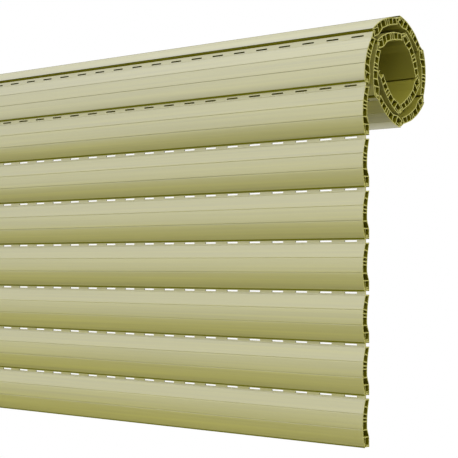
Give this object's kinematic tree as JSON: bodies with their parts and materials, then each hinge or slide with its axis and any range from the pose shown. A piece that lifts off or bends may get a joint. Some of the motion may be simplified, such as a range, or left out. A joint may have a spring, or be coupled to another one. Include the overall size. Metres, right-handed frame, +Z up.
{
  "type": "exterior roller shutter curtain",
  "caption": "Curtain of an exterior roller shutter: hollow bowed plastic slats with light slots, hooked together, the lower ones hanging straight, the upper ones wound into a roll.",
  "frame": {"origin": "middle of the underside of the bottom slat's front lip, where the closed shutter meets the sill", "axes": "+X along the slats, +Y from the outside face towards the window and the roll, +Z up"},
  "size_m": [0.98, 0.1298, 0.4667],
  "materials": {
    "slat_plastic": "extruded rigid plastic, khaki olive, fine satin"
  },
  "bodies": {
    "bottom_slat": {"bottom_slat": "slat_plastic"},
    "hanging_slat_2": {"hanging_slat_2": "slat_plastic"},
    "hanging_slat_3": {"hanging_slat_3": "slat_plastic"},
    "hanging_slat_4": {"hanging_slat_4": "slat_plastic"},
    "hanging_slat_5": {"hanging_slat_5": "slat_plastic"},
    "hanging_slat_6": {"hanging_slat_6": "slat_plastic"},
    "lead_slat": {"lead_slat": "slat_plastic"},
    "roll_slat_01": {"roll_slat_01": "slat_plastic"},
    "roll_slat_02": {"roll_slat_02": "slat_plastic"},
    "roll_slat_03": {"roll_slat_03": "slat_plastic"},
    "roll_slat_04": {"roll_slat_04": "slat_plastic"},
    "roll_slat_05": {"roll_slat_05": "slat_plastic"},
    "roll_slat_06": {"roll_slat_06": "slat_plastic"},
    "roll_slat_07": {"roll_slat_07": "slat_plastic"},
    "roll_slat_08": {"roll_slat_08": "slat_plastic"},
    "roll_slat_09": {"roll_slat_09": "slat_plastic"},
    "roll_slat_10": {"roll_slat_10": "slat_plastic"},
    "top_slat": {"top_slat": "slat_plastic"}
  },
  "joints": [
    {"name": "hanging_slat_6_slide", "type": "slide", "parent": "lead_slat", "child": "hanging_slat_6", "axis": [0, 0, 1], "range_m": [0, 0.0034]},
    {"name": "hanging_slat_5_slide", "type": "slide", "parent": "hanging_slat_6", "child": "hanging_slat_5", "axis": [0, 0, 1], "range_m": [0, 0.0034]},
    {"name": "hanging_slat_4_slide", "type": "slide", "parent": "hanging_slat_5", "child": "hanging_slat_4", "axis": [0, 0, 1], "range_m": [0, 0.0034]},
    {"name": "hanging_slat_3_slide", "type": "slide", "parent": "hanging_slat_4", "child": "hanging_slat_3", "axis": [0, 0, 1], "range_m": [0, 0.0034]},
    {"name": "hanging_slat_2_slide", "type": "slide", "parent": "hanging_slat_3", "child": "hanging_slat_2", "axis": [0, 0, 1], "range_m": [0, 0.0034]},
    {"name": "bottom_slat_slide", "type": "slide", "parent": "hanging_slat_2", "child": "bottom_slat", "axis": [0, 0, 1], "range_m": [0, 0.0034]},
    {"name": "roll_slat_01_hinge", "type": "hinge", "parent": "lead_slat", "child": "roll_slat_01", "pos_m": [0, 0.00384, 0.387], "axis": [1, 0, 0], "range_deg": [0, 14.54]},
    {"name": "roll_slat_02_hinge", "type": "hinge", "parent": "roll_slat_01", "child": "roll_slat_02", "pos_m": [0, 0.01764, 0.44024], "axis": [1, 0, 0], "range_deg": [0, 52.29]},
    {"name": "roll_slat_03_hinge", "type": "hinge", "parent": "roll_slat_02", "child": "roll_slat_03", "pos_m": [0, 0.0682, 0.46188], "axis": [1, 0, 0], "range_deg": [0, 54.23]},
    {"name": "roll_slat_04_hinge", "type": "hinge", "parent": "roll_slat_03", "child": "roll_slat_04", "pos_m": [0, 0.11532, 0.43351], "axis": [1, 0, 0], "range_deg": [0, 56.41]},
    {"name": "roll_slat_05_hinge", "type": "hinge", "parent": "roll_slat_04", "child": "roll_slat_05", "pos_m": [0, 0.11776, 0.37857], "axis": [1, 0, 0], "range_deg": [0, 58.89]},
    {"name": "roll_slat_06_hinge", "type": "hinge", "parent": "roll_slat_05", "child": "roll_slat_06", "pos_m": [0, 0.07198, 0.34809], "axis": [1, 0, 0], "range_deg": [0, 61.74]},
    {"name": "roll_slat_07_hinge", "type": "hinge", "parent": "roll_slat_06", "child": "roll_slat_07", "pos_m": [0, 0.02345, 0.37398], "axis": [1, 0, 0], "range_deg": [0, 65.08]},
    {"name": "roll_slat_08_hinge", "type": "hinge", "parent": "roll_slat_07", "child": "roll_slat_08", "pos_m": [0, 0.02649, 0.4289], "axis": [1, 0, 0], "range_deg": [0, 69.05]},
    {"name": "roll_slat_09_hinge", "type": "hinge", "parent": "roll_slat_08", "child": "roll_slat_09", "pos_m": [0, 0.07886, 0.4457], "axis": [1, 0, 0], "range_deg": [0, 73.93]},
    {"name": "roll_slat_10_hinge", "type": "hinge", "parent": "roll_slat_09", "child": "roll_slat_10", "pos_m": [0, 0.1095, 0.40003], "axis": [1, 0, 0], "range_deg": [0, 80.12]},
    {"name": "top_slat_hinge", "type": "hinge", "parent": "roll_slat_10", "child": "top_slat", "pos_m": [0, 0.06977, 0.362], "axis": [1, 0, 0], "range_deg": [0, 85.43]}
  ],
  "couplings": [
    {"joint": "roll_slat_02_hinge", "follows": "roll_slat_01_hinge", "ratio": 3.5969},
    {"joint": "roll_slat_03_hinge", "follows": "roll_slat_01_hinge", "ratio": 3.7303},
    {"joint": "roll_slat_04_hinge", "follows": "roll_slat_01_hinge", "ratio": 3.8803},
    {"joint": "roll_slat_05_hinge", "follows": "roll_slat_01_hinge", "ratio": 4.0508},
    {"joint": "roll_slat_06_hinge", "follows": "roll_slat_01_hinge", "ratio": 4.247},
    {"joint": "roll_slat_07_hinge", "follows": "roll_slat_01_hinge", "ratio": 4.4765},
    {"joint": "roll_slat_08_hinge", "follows": "roll_slat_01_hinge", "ratio": 4.7502},
    {"joint": "roll_slat_09_hinge", "follows": "roll_slat_01_hinge", "ratio": 5.0854},
    {"joint": "roll_slat_10_hinge", "follows": "roll_slat_01_hinge", "ratio": 5.5112},
    {"joint": "top_slat_hinge", "follows": "roll_slat_01_hinge", "ratio": 5.8765}
  ]
}
